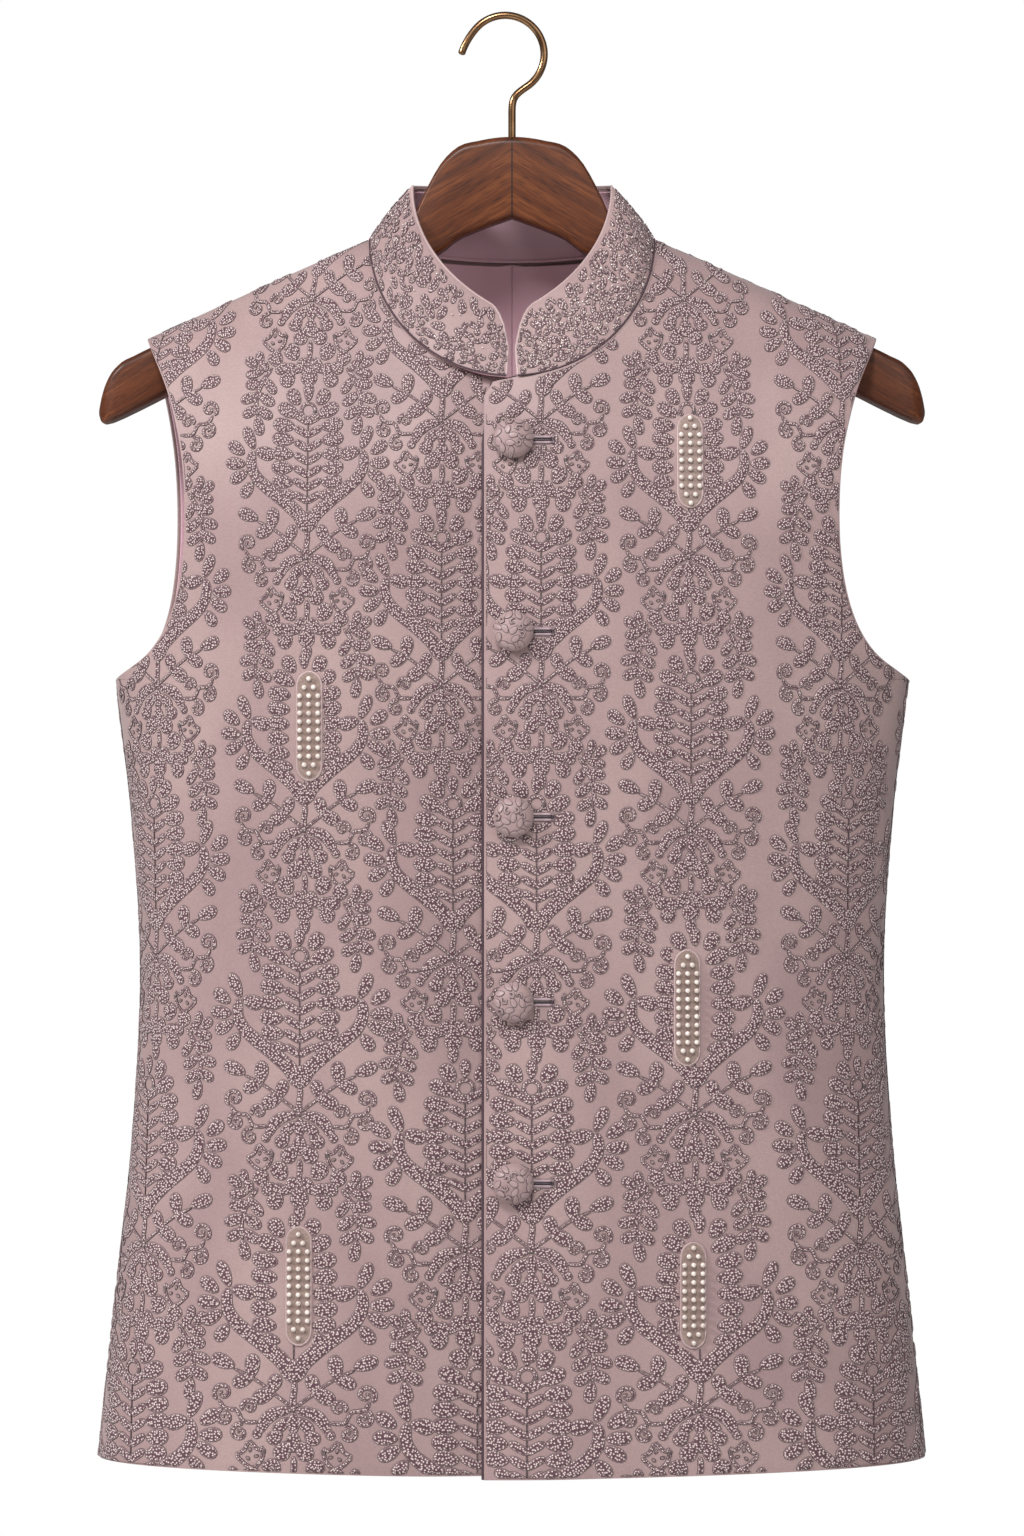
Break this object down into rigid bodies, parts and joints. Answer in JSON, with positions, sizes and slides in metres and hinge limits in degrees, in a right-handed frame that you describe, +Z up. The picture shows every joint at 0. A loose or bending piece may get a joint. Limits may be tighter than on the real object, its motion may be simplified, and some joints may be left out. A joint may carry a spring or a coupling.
{
  "type": "nehru jacket on hanger",
  "caption": "Sleeveless nehru jacket with a stand collar, a lapped buttoned front and armholes, hanging on a wooden hanger with a wire hook.",
  "frame": {"origin": "the seat of the hook, the point on the inner side of its bow that bears on a rail", "axes": "+Z up, -Y towards the jacket's front, +X towards the wearer's left"},
  "size_m": [0.462, 0.1638, 0.812],
  "materials": {
    "embroidered_silk": "satin",
    "satin_lining": "satin",
    "pearl_ground": "satin",
    "walnut": "satin",
    "antique_brass": "polished"
  },
  "bodies": {
    "root": {"front_left": "embroidered_silk", "front_right": "embroidered_silk", "back": "embroidered_silk", "back_lining_left": "satin_lining", "back_lining_right": "satin_lining", "collar": "embroidered_silk", "collar_lining": "satin_lining", "button_1": "embroidered_silk", "button_2": "embroidered_silk", "button_3": "embroidered_silk", "button_4": "embroidered_silk", "button_5": "embroidered_silk", "buttonhole_1": "satin_lining", "buttonhole_2": "satin_lining", "buttonhole_3": "satin_lining", "buttonhole_4": "satin_lining", "buttonhole_5": "satin_lining", "pearl_panel_1": "pearl_ground", "pearl_panel_2": "pearl_ground", "pearl_panel_3": "pearl_ground", "pearl_panel_4": "pearl_ground", "pearl_panel_5": "pearl_ground", "hanger_wood": "walnut", "hanger_hook": "antique_brass"}
  },
  "joints": []
}
